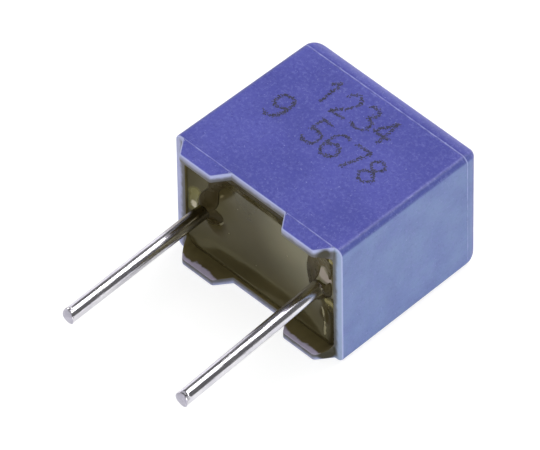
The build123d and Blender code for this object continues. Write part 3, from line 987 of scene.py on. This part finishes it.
def tinned_wire():
    """Bright tin with drawing marks along the wire, a little dulling, a torn, matt cut end, and a resin
    film near the root whose reach is partly painted shade.
    """
    nodes = new_material("tinned_wire")
    place = nodes.millimetres()
    split, facing = nodes.parts(place), nodes.facing()
    streaks = nodes.noise(nodes.stretched(place, (9.0, 0.25, 9.0)), 2.0, 4.0, 0.6)
    dull = nodes.ramp(nodes.noise(place, 1.3, 4.0), 0.35, 0.7)
    colour = nodes.mix(dull, TIN["bright"], TIN["dull"])
    cut = nodes.fade(facing["Y"], -0.9, -0.7)
    torn = nodes.noise(place, 14.0, 4.0, 0.7)
    colour = nodes.mix(cut, colour, nodes.mix(torn, TIN["torn, dark"], TIN["torn, bright"]))
    ragged = nodes.product(nodes.noise(place, 2.0), 0.9)
    film_edge = nodes.ramp(split["X"], -1.0, 1.0, FILM_ON_LEFT, FILM_ON_RIGHT)
    past = nodes.math("SUBTRACT", nodes.math("ADD", split["Y"], ragged), film_edge)
    # The film reaches further on faces turned towards -X and -Z: painted shade that darkens the root and
    # spares the lower-right highlight
    for axis, shading_lag in (("Z", 0.25), ("X", 0.45)):
        past = nodes.math("SUBTRACT", past, nodes.product(facing[axis], shading_lag))
    film = nodes.product(nodes.ramp(past, 0.0, 1.4), 0.9)
    roughness = nodes.spread(streaks, 0.1, 0.2)
    relief = nodes.bump(streaks, 0.012, 0.5)
    return nodes.principled({
        "Base Color": nodes.mix(film, colour, TIN["resin film"]), "Metallic": 1.0,
        "Roughness": nodes.math("ADD", roughness, nodes.product(cut, 0.3)),
        "Normal": nodes.bump(nodes.product(torn, cut), 0.03, 0.8, relief),
    })


def printing_ink():
    """Dark grey ink, thin enough to let the blue through here and there."""
    nodes = new_material("printing_ink")
    place = nodes.millimetres()
    cover = nodes.ramp(nodes.noise(place, 5.0, 3.0, 0.6), 0.35, 0.65)
    return nodes.principled({
        "Base Color": nodes.mix(cover, *INK),
        "Roughness": nodes.ramp(cover, 0.0, 1.0, 0.45, 0.6), "IOR": 1.45,
    })


def metallised_film():
    """Edges of wound film, seen as fine lines round the winding."""
    nodes = new_material("metallised_film")
    place = nodes.millimetres()
    layers = nodes.noise(nodes.stretched(place, (0.4, 6.0, 6.0)), 3.0)
    return nodes.principled({
        "Base Color": nodes.mix(layers, *FILM_EDGES), "Metallic": 0.6,
        "Roughness": nodes.ramp(layers, 0.2, 0.8, 0.2, 0.4), "Normal": nodes.bump(layers, 0.01, 0.5),
    })


def sprayed_metal():
    """Rough grey zinc from the spray gun."""
    nodes = new_material("sprayed_metal")
    place = nodes.millimetres()
    grit = nodes.noise(place, 9.0, 6.0, 0.7)
    return nodes.principled({
        "Base Color": nodes.mix(grit, *SPRAY), "Metallic": 0.8,
        "Roughness": nodes.ramp(grit, 0.2, 0.8, 0.5, 0.8), "Normal": nodes.bump(grit, 0.04, 0.8),
    })


def dress_cad_node(name, material):
    """A better material on a CAD node that stays as it is."""
    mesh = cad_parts[name].data
    mesh.materials.clear()
    mesh.materials.append(material)


def unit(vector):
    return tuple(np.array(vector, dtype=float) / np.linalg.norm(vector))


def panel(nodes, direction, centre, along, width, height, edge, colour):
    """A rectangular panel of light in the surroundings, square on to its centre's direction."""
    centre = unit(centre)
    side = unit(np.cross(along, centre))
    up = unit(np.cross(centre, side))
    ahead = nodes.vector("DOT_PRODUCT", direction, centre, "Value")
    share = nodes.ramp(ahead, 0.02, 0.06)
    ahead = nodes.math("MAXIMUM", ahead, 0.001)
    for axis, reach in ((side, width), (up, height)):
        off = nodes.math("DIVIDE", nodes.vector("DOT_PRODUCT", direction, axis, "Value"), ahead)
        share = nodes.product(share, nodes.fade(nodes.absolute(off), reach - edge, reach + edge))
    return nodes.scaled(colour, share)


def set_world():
    """Soft studio surroundings for light and reflections, plain white where they are seen."""
    world = bpy.data.worlds.new("studio")
    bpy.context.scene.world = world
    world.use_nodes = True
    nodes = Nodes(world)
    direction = nodes.add("TexCoord")["Generated"]
    total = (AMBIENT, AMBIENT, AMBIENT)
    for measures in PANELS:
        total = nodes.vector("ADD", total, panel(nodes, direction, *measures))
    light = nodes.add("Background", {"Color": total})[0]
    plain = nodes.add("Background", {"Color": WHITE})[0]
    seen = nodes.add("LightPath")["Is Camera Ray"]
    nodes.add("OutputWorld", {"Surface": nodes.blend(seen, light, plain)})


def add_fills():
    """Soft lamps for matt light, unseen in reflections."""
    for name, (direction, strength, colour, angle) in FILLS.items():
        lamp = bpy.data.lights.new(name, "SUN")
        lamp.energy = strength
        lamp.color = colour
        lamp.angle = angle
        seat = new_object(name, lamp)
        seat.rotation_euler = Vector(direction).to_track_quat("Z", "Y").to_euler()
        seat.visible_glossy = False


def matt_white(nodes, albedo):
    return nodes.add("BsdfDiffuse", {"Color": (albedo, albedo, albedo)})[0]


def white_surface(nodes, glow, albedo):
    """Part glow, part matt white, so that it is white in the open and keeps a shadow."""
    light = nodes.add("Emission", {"Color": WHITE, "Strength": glow})[0]
    return nodes.add("AddShader", {0: matt_white(nodes, albedo), 1: light})[0]


def floor_material():
    """White floor with a soft shadow; seen from below it is clear, and lights what rests on it."""
    nodes = new_material("pale_floor")
    path = nodes.add("LightPath")
    mirrored = nodes.math("MAXIMUM", path["Is Glossy Ray"], path["Is Transmission Ray"])
    seen = path["Is Camera Ray"]
    shader = nodes.blend(mirrored, matt_white(nodes, FLOOR_MATT), white_surface(nodes, *FLOOR_MIRRORED))
    shader = nodes.blend(seen, shader, white_surface(nodes, *FLOOR_SEEN))
    below = nodes.add("NewGeometry")["Backfacing"]
    touching = nodes.math("LESS_THAN", path["Ray Length"], CONTACT_GAP)
    touching = nodes.product(touching, nodes.math("SUBTRACT", 1.0, seen))
    clear = nodes.add("BsdfTransparent")[0]
    return nodes.surface(nodes.blend(nodes.math("MAXIMUM", below, touching), shader, clear))


def add_floor():
    mesh = bpy.data.meshes.new("floor")
    sides = ((-1, -1), (1, -1), (1, 1), (-1, 1))
    corners = [(x * FLOOR_REACH, y * FLOOR_REACH, FLOOR_HEIGHT) for x, y in sides]
    mesh.from_pydata(corners, [], [(0, 1, 2, 3)])
    mesh.materials.append(floor_material())
    floor = new_object("floor", mesh)


def add_camera():
    camera = bpy.data.cameras.new("camera")
    camera.sensor_width = SENSOR_WIDTH
    camera.lens = CAMERA_LENS
    seat = new_object("camera", camera)
    rows = zip(CAMERA_RIGHT, CAMERA_UP, CAMERA_BACK, CAMERA_PLACE)
    seat.matrix_world = Matrix([*rows, (0, 0, 0, 1)])
    bpy.context.scene.camera = seat


add_camera()
add_floor()
set_world()
add_fills()
tin = tinned_wire()
make_case(case_plastic(), coated_plastic())
make_resin(potting_resin())
make_webs_and_shade(dark_resin_and_shade())
make_wire("left_wire", LEADS["left_wire"], tin, "lead_left")
make_wire("right_wire", LEADS["right_wire"], tin, "lead_right")
make_print(printing_ink())
spray = sprayed_metal()
dress_cad_node("film_winding", metallised_film())
dress_cad_node("end_contact_left", spray)
dress_cad_node("end_contact_right", spray)
bpy.context.scene.view_settings.view_transform = "Standard"
